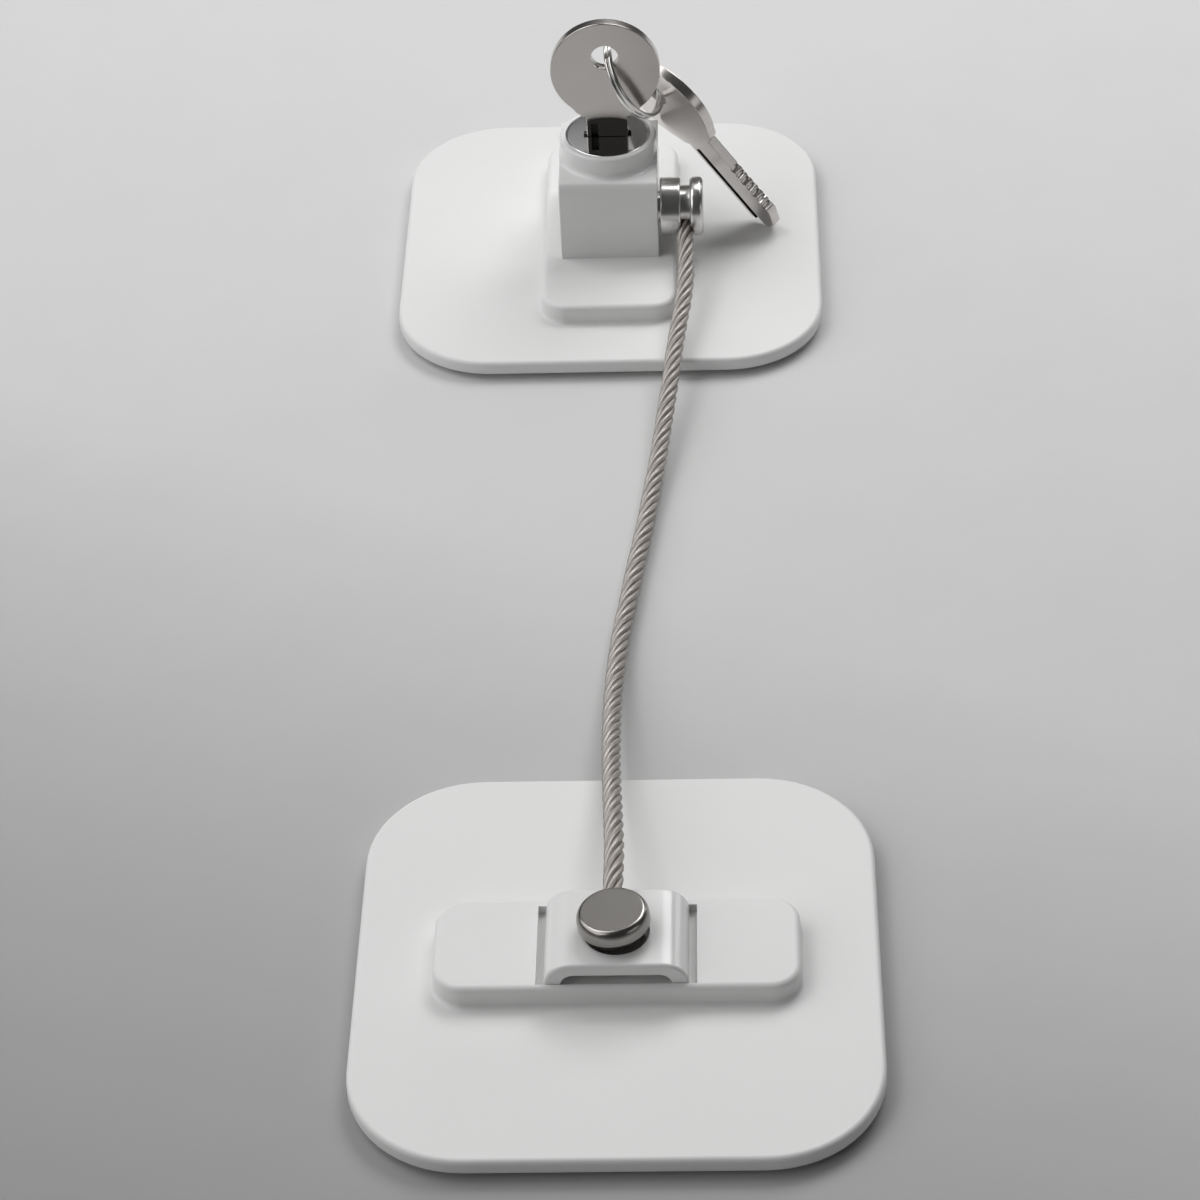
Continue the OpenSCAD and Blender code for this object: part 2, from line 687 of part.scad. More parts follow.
// Bridge over the stud, with two hooks that snap through the bar
module anchor_bracket() {
    height = bracket_top - pocket_z;
    plan_r = 1.5;
    edge_r = 1;
    inner_r = bracket_shoulder_r / 2;
    hook_top = pocket_z - hollow_top + run_gap;
    color("white") at_anchor() translate([0, bracket_y, pocket_z]) {
        difference() {
            intersection() {
                rotate([90, 0, 0]) linear_extrude(bracket_d + 2 * over, center = true)
                    slab_section(bracket_w / 2, height, bracket_shoulder_r);
                rotate([90, 0, 90]) linear_extrude(bracket_w + 2 * over, center = true)
                    slab_section(bracket_d / 2, height, edge_r);
                translate([0, 0, -over]) linear_extrude(height + 2 * over)
                    rounded_rect(bracket_w, bracket_d, plan_r);
            }
            rotate([90, 0, 0]) translate([0, -over]) linear_extrude(bracket_d + 2 * over, center = true)
                slab_section(bracket_w / 2 - bracket_leg, height - bracket_roof + over, inner_r);
            translate([0, stud_y - bracket_y, 0]) cylinder(r = bracket_hole_r, h = height + over);
        }
        for (side = [0, 1])
            mirror([side, 0, 0]) translate([hook_x, hook_w / 2, 0])
                rotate([90, 0, 0]) linear_extrude(hook_w)
                polygon([[-hook_thick, run_gap], [0, run_gap], [0, -hook_top], [hook_barb, -hook_top],
                    [0, -hook_top - hook_reach], [-hook_thick, -hook_top - hook_reach]]);
    }
}

lock_adhesive_pad();
lock_base_plate();
lock_housing();
housing_screws();
cylinder_sleeve();
cylinder_plug();
plug_retaining_clip();
wafer_springs();
right_wafers();
left_wafers();
inserted_key();
split_ring();
spare_key();
latch_pin();
wire_rope();
anchor_stud();
stud_retaining_clip();
stud_washer();
anchor_adhesive_pad();
anchor_base_plate();
anchor_bracket();
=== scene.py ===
import math

import bmesh
import bpy
from mathutils import Matrix, Vector


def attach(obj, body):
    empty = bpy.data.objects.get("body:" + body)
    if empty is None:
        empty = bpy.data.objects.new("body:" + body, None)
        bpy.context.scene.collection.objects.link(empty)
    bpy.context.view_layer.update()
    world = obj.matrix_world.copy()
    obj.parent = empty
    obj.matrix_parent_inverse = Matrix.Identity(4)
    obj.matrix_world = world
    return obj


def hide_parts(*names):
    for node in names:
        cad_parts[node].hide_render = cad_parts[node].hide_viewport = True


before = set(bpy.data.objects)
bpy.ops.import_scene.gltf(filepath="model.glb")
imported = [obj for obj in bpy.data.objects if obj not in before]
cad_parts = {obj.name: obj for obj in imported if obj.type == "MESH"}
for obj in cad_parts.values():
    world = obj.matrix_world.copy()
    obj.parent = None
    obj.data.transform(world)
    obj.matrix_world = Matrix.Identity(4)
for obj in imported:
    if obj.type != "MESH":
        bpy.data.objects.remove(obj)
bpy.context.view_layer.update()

# The stage: a plain pale floor in a dim room. A softbox with its dim skirt hangs behind the lock, wide soft
# lights stand at the left, above and at the right, and a narrow one at the back right, so bright metal takes
# dark bands from the room between them. The camera stands where the photo was taken from.
mm = 0.001
bpy.context.scene.view_settings.view_transform = "Standard"


class Tone:
    """A socket in a material's tree. Sums on it add Math nodes, and node() adds any other node."""

    def __init__(self, tree, socket=None):
        self.tree, self.socket = tree, socket

    def node(self, kind, settings=None, sockets=None, out=0):
        made = self.tree.nodes.new(kind)
        for name, value in (settings or {}).items():
            if name == "stops":
                ramp = made.color_ramp.elements
                for place, _ in value[2:]:
                    ramp.new(place)
                for stop, (place, colour) in zip(sorted(ramp, key=lambda s: s.position), sorted(value)):
                    stop.position, stop.color = place, (*colour, 1)
            else:
                setattr(made, name, value)
        for name, value in (sockets or {}).items():
            if isinstance(value, Tone):
                self.tree.links.new(value.socket, made.inputs[name])
            else:
                made.inputs[name].default_value = value
        return Tone(self.tree, made.outputs[out])

    def maths(self, operation, a, b=0.0):
        return self.node("ShaderNodeMath", {"operation": operation}, {0: a, 1: b})

    def into(self, shader, name):
        self.tree.links.new(self.socket, shader.inputs[name])

    def __add__(self, other):
        return self.maths("ADD", self, other)

    def __mul__(self, other):
        return self.maths("MULTIPLY", self, other)

    __radd__ = __add__
    __rmul__ = __mul__


def new_finish(name, **constants):
    """A material, a start for its nodes, its shader, and Object coordinates."""
    material = bpy.data.materials.new(name)
    material.use_nodes = True
    shader = material.node_tree.nodes["Principled BSDF"]
    for socket, value in constants.items():
        shader.inputs[socket.replace("_", " ")].default_value = value
    tone = Tone(material.node_tree)
    return material, tone, shader, tone.node("ShaderNodeTexCoord", out=3)


def speckle(tone, where, scale, detail=3.0, rough=0.5):
    """Fine noise between 0 and 1; scale counts grains in a metre."""
    return tone.node("ShaderNodeTexNoise", None,
                     {"Vector": where, "Scale": scale, "Detail": detail, "Roughness": rough})


def shade_between(tone, mask, low, high):
    """A colour that goes from low to high as the mask goes from 0 to 1."""
    return tone.node("ShaderNodeMix", {"data_type": "RGBA"},
                     {0: mask, 6: (*low, 1), 7: (*high, 1)}, out=2)


bpy.ops.object.select_all(action="DESELECT")
bpy.ops.mesh.primitive_plane_add(size=8, location=(0, 0, -0.02 * mm))
floor = bpy.context.object
floor.name = "floor"
bpy.ops.object.transform_apply(location=True, rotation=True, scale=True)
floor_finish, tone, shader, where = new_finish("pale_floor", Roughness=0.8, Specular_IOR_Level=0.2)
depth = tone.node("ShaderNodeSeparateXYZ", None, {0: where}, out=1)
aside = tone.node("ShaderNodeSeparateXYZ", None, {0: where}, out=0)
# The floor's colour is painted shade: darker at the front left and paler at the back right, as the light
# falls off towards the camera, under faint clouds
falloff_greys = [(place, (grey, grey, grey)) for place, grey in (
    (0.0, 0.35), (1.0, 0.70), (0.22, 0.45), (0.55, 0.66))]
painted_falloff = tone.node("ShaderNodeValToRGB", {"stops": falloff_greys}, {0: (depth + 0.5 * aside + 0.26) * 3.2})
clouds = shade_between(tone, speckle(tone, where, 60, 5, 0.6), (0.95, 0.95, 0.95), (1, 1, 1))
tone.node("ShaderNodeMix", {"data_type": "RGBA", "blend_type": "MULTIPLY"},
          {0: 1.0, 6: painted_falloff, 7: clouds}, out=2).into(shader, "Base Color")
floor.data.materials.append(floor_finish)

room = bpy.data.worlds.new("room")
room.use_nodes = True
bpy.context.scene.world = room
tone = Tone(room.node_tree)
height = tone.node("ShaderNodeSeparateXYZ", None, {0: tone.node("ShaderNodeTexCoord", out=0)}, out=2)
tone.node("ShaderNodeValToRGB", {"stops": [(0.35, (0.08, 0.08, 0.08)), (0.75, (0.05, 0.05, 0.05))]},
          {0: height * 0.5 + 0.5}).into(room.node_tree.nodes["Background"], "Color")

aim_y = -0.06
for name, place, aim_x, wide, high, watts in (
        ("softbox", (0.20, 0.34, 0.56), 0.20, 0.40, 0.37, 2.3),
        ("softbox_skirt", (0.0, 1.50, 1.22), 0, 1.8, 0.36, 1.3),
        ("left_window", (-0.80, -0.20, 0.66), 0, 1.6, 0.8, 5.8),
        ("left_top", (-0.36, 0.10, 0.72), -0.36, 0.42, 0.5, 1.9),
        ("right_top", (0.50, 0.36, 0.72), 0, 0.7, 0.5, 0.7),
        ("right_wall", (1.1, -0.78, 0.42), 0, 0.8, 0.4, 0.65),
        ("back_strip", (0.875, 0.73, 0.30), 0, 0.12, 0.50, 0.5)):
    lamp = bpy.data.lights.new(name, "AREA")
    lamp.shape, lamp.size, lamp.size_y, lamp.energy = "RECTANGLE", wide, high, watts
    stand = bpy.data.objects.new(name, lamp)
    stand.location = place
    stand.rotation_euler = (Vector((aim_x, aim_y, 0)) - stand.location).to_track_quat("-Z", "Y").to_euler()
    bpy.context.collection.objects.link(stand)

camera_data = bpy.data.cameras.new("camera")
camera_data.lens, camera_data.sensor_width = 106.45, 36
camera = bpy.data.objects.new("camera", camera_data)
bpy.context.collection.objects.link(camera)
camera_tip, camera_roll, camera_heading = (math.radians(angle) for angle in (49.442, 2.055, 0.998))
camera.matrix_world = (
    Matrix.Translation(Vector((20.315, -531.584, 371.931)) * mm) @ Matrix.Rotation(camera_heading, 4, "Z")
    @ Matrix.Rotation(camera_roll, 4, "Y") @ Matrix.Rotation(camera_tip, 4, "X"))
bpy.context.scene.camera = camera

# Adhesive pads: closed-cell foam tape, die cut a little smaller than the plates and stuck
# under them. Only its edge shows, as a thin layer in the plate's shadow.
foam, tone, shader, where = new_finish("pad_foam", Specular_IOR_Level=0.2)
cells = tone.node("ShaderNodeTexVoronoi", None, {"Vector": where, "Scale": 2600.0})
shade_between(tone, speckle(tone, where, 700), (0.62, 0.62, 0.61), (0.74, 0.74, 0.73)).into(
    shader, "Base Color")
(0.8 + 0.15 * speckle(tone, where, 1500)).into(shader, "Roughness")
tone.node("ShaderNodeBump", None, {"Strength": 0.5, "Distance": 0.15 * mm, "Height": cells}).into(
    shader, "Normal")
for pad in ("lock_adhesive_pad", "anchor_adhesive_pad"):
    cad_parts[pad].material_slots[0].material = foam

# Lock plate: one injection moulding in white plastic. A bar is drawn up from the square plate,
# hollow underneath, with a soft edge on top and a soft fillet at its foot.
pad_top, plate_top, bar_top, hollow_top = 1.0 * mm, 3.5 * mm, 7.0 * mm, 4.8 * mm
plate_side, plate_corner, plate_edge, plate_low_edge = 75 * mm, 17 * mm, 0.8 * mm, 0.4 * mm
bar_length, bar_corner, bar_wall, bar_edge, bar_fillet = 52.4 * mm, 4.5 * mm, 2.2 * mm, 1.0 * mm, 0.7 * mm
lock_bar_width = 24 * mm
screw_x, screw_y, screw_clear_r = 6.3, 9.0, 1.3


def white_moulding(name, roughness, grain):
    """White plastic with faint flow clouds and the fine skin of its mould."""
    plastic, tone, shader, where = new_finish(name, IOR=1.5)
    shade_between(tone, speckle(tone, where, 45, 4), (0.775, 0.775, 0.77), (0.81, 0.81, 0.805)).into(
        shader, "Base Color")
    (roughness + 0.06 * speckle(tone, where, 380, 4)).into(shader, "Roughness")
    tone.node("ShaderNodeBump", None, {
        "Strength": grain, "Distance": 0.05 * mm,
        "Height": speckle(tone, where, 700, 2) + 0.4 * speckle(tone, where, 5200, 2)}).into(shader, "Normal")
    return plastic


matt_white = white_moulding("matt_white_plastic", 0.5, 0.10)


def settle(name):
    """Names the new primitive and puts its place and size into its mesh."""
    piece = bpy.context.object
    piece.name = piece.data.name = name
    bpy.ops.object.transform_apply(location=True, rotation=True, scale=True)
    return piece


def edit():
    """Opens the active piece in edit mode, with all of it selected."""
    bpy.ops.object.mode_set(mode="EDIT")
    bpy.ops.mesh.select_mode(type="FACE")
    bpy.ops.mesh.select_all(action="SELECT")


def done():
    """Turns all faces outwards and leaves edit mode."""
    bpy.ops.mesh.select_all(action="SELECT")
    bpy.ops.mesh.normals_make_consistent(inside=False)
    bpy.ops.object.mode_set(mode="OBJECT")


def pick(kind, test):
    """In edit mode, selects only the edges or faces that pass the test."""
    bpy.ops.mesh.select_mode(type={"edges": "EDGE", "faces": "FACE"}[kind])
    bpy.ops.mesh.select_all(action="DESELECT")
    mesh = bmesh.from_edit_mesh(bpy.context.object.data)
    for part in getattr(mesh, kind):
        if test(part):
            part.select_set(True)
    mesh.select_flush_mode()
    bmesh.update_edit_mesh(bpy.context.object.data)


def at_level(part, z):
    """True where all of the part lies at one height."""
    return all(abs(v.co.z - z) < 1e-6 for v in part.verts)


def within(part, x, y, wide, deep):
    """True where all of the part lies over a rectangle about (x, y)."""
    return all(abs(v.co.x - x) < wide / 2 + 1e-6 and abs(v.co.y - y) < deep / 2 + 1e-6 for v in part.verts)


def round_outline(x, y, z, wide, deep, corner):
    """In edit mode, adds a bare outline with round corners to the mesh."""
    bpy.ops.mesh.primitive_plane_add(size=1, location=(x, y, z))
    bpy.ops.transform.resize(value=(wide, deep, 1), center_override=(x, y, z))
    bpy.ops.mesh.bevel(offset=corner, segments=14, affect="VERTICES")
    pick("faces", lambda face: at_level(face, z) and within(face, x, y, wide, deep))
    bpy.ops.mesh.delete(type="ONLY_FACE")


def moulded_plate(name, x, y, bar_x, bar_y):
    """Square plate with its raised bar and the bar's hollow underneath."""
    bpy.ops.object.select_all(action="DESELECT")
    bpy.ops.mesh.primitive_plane_add(size=plate_side, location=(x, y, pad_top))
    piece = settle(name)
    edit()
    bpy.ops.mesh.bevel(offset=plate_corner, segments=14, affect="VERTICES")
    bpy.ops.mesh.select_all(action="SELECT")
    bpy.ops.mesh.extrude_region_move(TRANSFORM_OT_translate={"value": (0, 0, plate_top - pad_top)})
    pick("edges", lambda edge: at_level(edge, plate_top))
    bpy.ops.mesh.bevel(offset=plate_edge, segments=6, affect="EDGES")
    pick("edges", lambda edge: at_level(edge, pad_top))
    bpy.ops.mesh.bevel(offset=plate_low_edge, segments=3, affect="EDGES")
    # The bar grows from an outline on the plate's top, the hollow from one on its underside
    for level, far, wide, deep, corner in (
            (plate_top, bar_top, bar_x, bar_y, bar_corner),
            (pad_top, hollow_top, bar_x - 2 * bar_wall, bar_y - 2 * bar_wall, bar_corner - bar_wall)):
        pick("faces", lambda face: at_level(face, level))
        bpy.ops.mesh.delete(type="ONLY_FACE")
        round_outline(x, y, level, wide, deep, corner)
        for right in (-1, 1):
            for back in (-1, 1):
                pick("edges", lambda edge: at_level(edge, level) and all(
                    right * (v.co.x - x) > 0 and back * (v.co.y - y) > 0 for v in edge.verts))
                bpy.ops.mesh.bridge_edge_loops()
        pick("edges", lambda edge: at_level(edge, level))
        bpy.ops.mesh.fill_holes(sides=4)
        pick("edges", lambda edge: at_level(edge, level) and within(edge, x, y, wide, deep))
        bpy.ops.mesh.extrude_edges_move(TRANSFORM_OT_translate={"value": (0, 0, far - level)})
        bpy.ops.mesh.edge_face_add()
    pick("edges", lambda edge: at_level(edge, bar_top))
    bpy.ops.mesh.bevel(offset=bar_edge, segments=6, affect="EDGES")
    pick("edges", lambda edge: at_level(edge, plate_top) and within(edge, x, y, bar_x, bar_y))
    bpy.ops.mesh.bevel(offset=bar_fillet, segments=5, affect="EDGES")
    done()
    return piece


def cut(piece, tool, operation="DIFFERENCE"):
    """Cuts the tool out of the piece, or joins it on, and takes the tool away."""
    change = piece.modifiers.new(operation, "BOOLEAN")
    change.operation, change.solver, change.object = operation, "EXACT", tool
    bpy.ops.object.select_all(action="DESELECT")
    bpy.context.view_layer.objects.active = piece
    bpy.ops.object.modifier_apply(modifier=change.name)
    bpy.data.objects.remove(tool)


def block(name, low, high):
    """A box between two corners, given in millimetres."""
    low, high = Vector(low) * mm, Vector(high) * mm
    bpy.ops.object.select_all(action="DESELECT")
    bpy.ops.mesh.primitive_cube_add(size=1, location=(low + high) / 2)
    bpy.context.object.scale = high - low
    return settle(name)


def rod(name, radius, start, end, sides=64):
    """A round rod from one point to another, given in millimetres."""
    start, end = Vector(start) * mm, Vector(end) * mm
    bpy.ops.object.select_all(action="DESELECT")
    bpy.ops.mesh.primitive_cylinder_add(
        vertices=sides, radius=radius * mm, depth=(end - start).length, location=(start + end) / 2,
        rotation=(end - start).to_track_quat("Z", "Y").to_euler())
    return settle(name)


def finish_edges(piece, width, segments=2, angle=35):
    """Rounds what is still sharp, then shades it smooth with flat faces kept flat."""
    bpy.ops.object.select_all(action="DESELECT")
    piece.select_set(True)
    bpy.context.view_layer.objects.active = piece
    if width:
        edge = piece.modifiers.new("edge", "BEVEL")
        edge.width, edge.segments = width * mm, segments
        edge.limit_method, edge.angle_limit = "ANGLE", math.radians(angle)
        edge.use_clamp_overlap = True
        bpy.ops.object.modifier_apply(modifier=edge.name)
    bpy.ops.object.shade_smooth_by_angle(angle=math.radians(angle))
    even = piece.modifiers.new("even", "WEIGHTED_NORMAL")
    even.keep_sharp = True
    bpy.ops.object.modifier_apply(modifier=even.name)


def dress(piece, finish, body, slot, *nodes):
    """Gives a piece its finish, the body it moves with, and the solids it stands for."""
    piece.data.materials.clear()
    piece.data.materials.append(finish)
    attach(piece, body)
    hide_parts(*nodes)


lock_plate = moulded_plate("lock_plate_moulding", 0, 0, lock_bar_width, bar_length)
screw_places = [(x, y) for x in (-screw_x, screw_x) for y in (-screw_y, screw_y)]
for x, y in screw_places:
    cut(lock_plate, rod("screw_hole", screw_clear_r, (x, y, 3.8), (x, y, 8), 32))
finish_edges(lock_plate, 0)
dress(lock_plate, matt_white, "lock_base", "white_plastic", "lock_base_plate")

# Lock housing: a glossy white moulding whose front and back sweep in towards the top, with a collar.
# Four screws pull it down from inside the bar; it is bored for the lock cylinder and the pin.
housing_x, housing_y, rim = 8.7, 11.4, 25.9
sweep_from, sweep_up, sweep_in, sweep_angle, sweep_steps = 16.6, 5.46, 1.63, 82, 7
collar_r, collar_flare, collar_root, collar_foot, collar_edge = 8.6, 1.3, 18.0, 21.95, 0.6
sleeve_bore_r, face_recess_r, face_seat = 7.25, 7.5, 24.3
pin_y, pin_z, pin_bore_r, pin_bore_end = -6.6, 14.5, 2.85, -6.8
thread_r, thread_top = 1.2, 11.3


def turned(name, rings, sides=96):
    """A lathe-turned piece on the Z axis, drawn up from (radius, height) rings, foot first."""
    radius, level = rings[0]
    bpy.ops.object.select_all(action="DESELECT")
    bpy.ops.mesh.primitive_circle_add(
        vertices=sides, radius=radius * mm, fill_type="NGON", location=(0, 0, level * mm))
    piece = settle(name)
    edit()
    for wider, higher in rings[1:]:
        bpy.ops.mesh.extrude_region_move(TRANSFORM_OT_translate={"value": (0, 0, (higher - level) * mm)})
        if wider != radius:
            bpy.ops.transform.resize(value=(wider / radius, wider / radius, 1),
                                     center_override=(0, 0, higher * mm))
        radius, level = wider, higher
    done()
    return piece


def top_edge(radius, level, round_off, steps=5, deep=None):
    """The rings of a rounded upper edge, as deep as it is wide unless told otherwise."""
    turns = [math.pi / 2 * step / steps for step in range(steps + 1)]
    deep = deep or round_off
    return [(radius - round_off * (1 - math.cos(a)), level - deep * (1 - math.sin(a))) for a in turns]


def low_edge(radius, level, round_off, steps=5):
    """The rings of a rounded lower edge."""
    turns = [math.pi / 2 * step / steps for step in range(steps + 1)]
    return [(radius - round_off * (1 - math.sin(a)), level + round_off * (1 - math.cos(a))) for a in turns]


housing = block("housing_moulding", (-housing_x, -housing_y, bar_top / mm),
                (housing_x, housing_y, sweep_from))
edit()
half, level = housing_y, sweep_from
for step in range(1, sweep_steps + 1):
    turn = math.radians(sweep_angle * step / sweep_steps)
    rise = sweep_from + sweep_up * math.sin(turn) - level
    narrow = housing_y - sweep_in * (1 - math.cos(turn))
    pick("faces", lambda face: face.normal.z > 0.9)
    bpy.ops.mesh.extrude_region_move(TRANSFORM_OT_translate={"value": (0, 0, rise * mm)})
    bpy.ops.transform.resize(value=(1, narrow / half, 1), center_override=(0, 0, 0))
    half, level = narrow, level + rise
pick("edges", lambda edge: not at_level(edge, bar_top) and len(edge.link_faces) == 2
     and edge.calc_face_angle() > 0.5)
bpy.ops.mesh.bevel(offset=0.22 * mm, segments=4, affect="EDGES")
done()
# The collar flares out at its foot, and the flare is cut off just inside the housing's sides
flare_r, flare_turns = collar_r + collar_flare, [math.radians(15 * step) for step in range(1, 7)]
collar = turned("collar", [(flare_r, collar_root), (flare_r, collar_foot)] + [
    (collar_r + collar_flare * (1 - math.sin(a)), collar_foot + collar_flare * (1 - math.cos(a)))
    for a in flare_turns] + top_edge(collar_r, rim, collar_edge))
for side in (-1, 1):
    inner, outer = sorted((side * (housing_x - 0.02), side * 14))
    cut(collar, block("collar_side", (inner, -12, 15), (outer, 12, 30)))
cut(housing, collar, "UNION")
cut(housing, rod("sleeve_bore", sleeve_bore_r, (0, 0, 6), (0, 0, face_seat + 0.01), 96))
cut(housing, rod("face_recess", face_recess_r, (0, 0, face_seat), (0, 0, 30), 96))
cut(housing, rod("pin_bore", pin_bore_r, (pin_bore_end, pin_y, pin_z), (12, pin_y, pin_z)))
for x, y in screw_places:
    cut(housing, rod("screw_hole", thread_r, (x, y, 6), (x, y, thread_top), 32))
finish_edges(housing, 0.18, 2, 40)
gloss_white = white_moulding("gloss_white_plastic", 0.13, 0.04)
dress(housing, gloss_white, "lock_base", "white_plastic", "lock_housing")

# Housing screws: four small steel screws, zinc plated, with a cross slot in the head. They are driven up
# through the bar from its hollow and pull the housing down.
def metal(name, dull, bright, clouds, rough, uneven, grain, cloud_detail=3, grain_detail=3):
    """Bare or plated metal that clouds between two tones, with a fine grain in its roughness."""
    finish, tone, shader, where = new_finish(name, Metallic=1.0)
    shade_between(tone, speckle(tone, where, clouds, cloud_detail), dull, bright).into(shader, "Base Color")
    (rough + uneven * speckle(tone, where, grain, grain_detail)).into(shader, "Roughness")
    return finish


screw_steel = metal("screw_steel", (0.55, 0.55, 0.57), (0.68, 0.68, 0.69),
                    clouds=900, rough=0.28, uneven=0.12, grain=2400)
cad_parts["housing_screws"].material_slots[0].material = screw_steel

# Cylinder sleeve: a die-cast zinc tube, clamped under the housing by its foot. The plug turns in it,
# and the wafers lock into it.
sleeve_zinc = metal("sleeve_zinc", (0.36, 0.36, 0.36), (0.48, 0.48, 0.48),
                    clouds=500, rough=0.42, uneven=0.16, grain=1800)
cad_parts["cylinder_sleeve"].material_slots[0].material = sleeve_zinc

# Plug: a die-cast plug with a bright chromed face, slotted for the key. Below the face it has slots
# for the wafers, and a tail with one flat that lets the latch pin in and out.
tail_r, clip_groove_r, barrel_r, face_r, face_edge = 4.9, 4.3, 6.0, 7.4, 0.3
tail_foot, clip_low, clip_high, barrel_foot, face_foot, face_top = 7.4, 8.15, 9.05, 18.0, 24.4, 25.8
keyway_half, mouth_half, keyway_gap = 3.8, 4.2, 1.1
flat_y, flat_low, flat_high = -3.4, 11.3, 17.7
wafer_low, wafer_pitch, wafer_half, wafer_y = 18.95, 1.5, 0.5, 1.75
pocket_half, pocket_back = 2.8, 2.76
wafer_levels = [wafer_low + wafer_pitch * number for number in range(4)]
plug = turned("plug_casting", [
    (tail_r, tail_foot), (tail_r, clip_low), (clip_groove_r, clip_low), (clip_groove_r, clip_high),
    (tail_r, clip_high), (tail_r, barrel_foot), (barrel_r, barrel_foot), (barrel_r, face_foot),
    (face_r, face_foot)] + top_edge(face_r, face_top, face_edge, 4))
cut(plug, block("keyway_mouth", (-mouth_half, -keyway_gap, face_foot), (mouth_half, keyway_gap, 27)))
cut(plug, block("keyway", (-keyway_half, -keyway_gap, 5), (keyway_half, keyway_gap, face_foot + 0.1)))
cut(plug, block("pin_flat", (-6, -6, flat_low), (6, flat_y, flat_high)))
for level in wafer_levels:
    low, high = level - wafer_half, level + wafer_half
    cut(plug, block("wafer_slot", (-7, -wafer_y, low), (7, wafer_y, high)))
    cut(plug, block("spring_pocket", (-pocket_half, 0, low), (pocket_half, pocket_back, high)))
finish_edges(plug, 0.1, 2)
chrome = metal("plug_chrome", (0.60, 0.60, 0.60), (0.66, 0.66, 0.655),
               clouds=260, rough=0.07, uneven=0.05, grain=1400, grain_detail=4)
dress(plug, chrome, "plug", "plug_chrome", "cylinder_plug")

# Retaining clips: E-shaped rings stamped from spring steel. One is pressed into the groove of the plug's
# tail and one into the stud's, and they keep both from coming out.
spring_steel = metal("spring_steel", (0.22, 0.22, 0.24), (0.36, 0.36, 0.37),
                     clouds=700, rough=0.34, uneven=0.15, grain=2200)
for clip in ("plug_retaining_clip", "stud_retaining_clip"):
    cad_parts[clip].material_slots[0].material = spring_steel

# Wafer springs: tiny coils of spring-steel wire, one beside each wafer in a pocket of the plug. They push
# the wafers out into the sleeve once the key is drawn.
spring_r, spring_wire_r, spring_pitch, spring_turns = 0.29, 0.08, 0.5, 7
spring_start, spring_x, spring_y = 0.1, 2.3, 2.23
bpy.ops.object.select_all(action="DESELECT")
bpy.ops.mesh.primitive_circle_add(
    vertices=8, radius=spring_wire_r * mm, location=(spring_r * mm, 0, spring_start * mm),
    rotation=(math.pi / 2, 0, 0), fill_type="NOTHING")
first_spring = settle("wafer_spring_0")
coil = first_spring.modifiers.new("coil", "SCREW")
coil.axis, coil.angle, coil.iterations, coil.screw_offset = "Z", math.tau, spring_turns, spring_pitch * mm
coil.steps = coil.render_steps = 14
bpy.ops.object.modifier_apply(modifier=coil.name)
edit()
pick("edges", lambda edge: edge.is_boundary)
bpy.ops.mesh.fill_holes(sides=0)
done()
bpy.ops.object.shade_smooth_by_angle(angle=math.radians(50))
springs = [first_spring]
for number in (1, 2, 3):
    spring = first_spring.copy()
    spring.data = first_spring.data.copy()
    spring.name = spring.data.name = f"wafer_spring_{number}"
    bpy.context.collection.objects.link(spring)
    springs.append(spring)
for number, (spring, level) in enumerate(zip(springs, wafer_levels)):
    flip = 1 if number % 2 == 0 else -1
    spring.data.transform(Matrix.Translation(Vector((-spring_x * flip, spring_y, level)) * mm)
                          @ Matrix.Rotation(flip * math.pi / 2, 4, "Y"))
    dress(spring, spring_steel, "plug", "spring_steel", "wafer_springs")

# Wafers: plates stamped from brass, each with a window for the key's blade. They slide in the plug's slots,
# two springing to each side.
wafer_brass = metal("wafer_brass", (0.62, 0.46, 0.20), (0.75, 0.58, 0.30),
                    clouds=800, rough=0.26, uneven=0.14, grain=2600)
for pair in ("right_wafers", "left_wafers"):
    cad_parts[pair].material_slots[0].material = wafer_brass

# Keys: stamped from flat brass sheet and nickel plated. Each has a round satin bow with a hole, and a blade
# with a milled groove and cuts along one edge. The neck and blade of the key in the lock are polished.
bow_r, bow_up, bow_hole_r, bow_hole_up = 9.6, 13.3, 2.4, 16.1
blade_half, key_half, key_edge, neck_top = 3.65, 0.95, 0.18, 3.9
first_cut, cut_depths = -3, (0.55, 0.35, 0.6, 0.4, 0.55, 0.3, 0.45)
groove_left, groove_right, groove_deep, groove_top = -2.87, -1.57, 0.475, 2.7


def key_nickel(name, tint, bright_below):
    """Warm grey nickel, satin above a height and polished bright below it."""
    nickel, tone, shader, where = new_finish(name, Metallic=1.0)
    height = tone.node("ShaderNodeSeparateXYZ", None, {0: where}, out=2)
    satin = tone.maths("GREATER_THAN", height, bright_below)
    plating = shade_between(tone, speckle(tone, where, 240, 5, 0.6), [0.88 * c for c in tint], tint)
    plating.into(shader, "Base Color")
    (0.05 + satin * (0.13 + 0.08 * speckle(tone, where, 700, 4))).into(shader, "Roughness")
    tone.node("ShaderNodeBump", None, {"Strength": 0.03, "Distance": 0.02 * mm,
                                       "Height": speckle(tone, where, 3000, 3)}).into(shader, "Normal")
    return nickel


def in_front_plane(edge):
    """True for an edge that lies in a plane facing the front."""
    return abs(edge.verts[0].co.y - edge.verts[1].co.y) < 1e-6


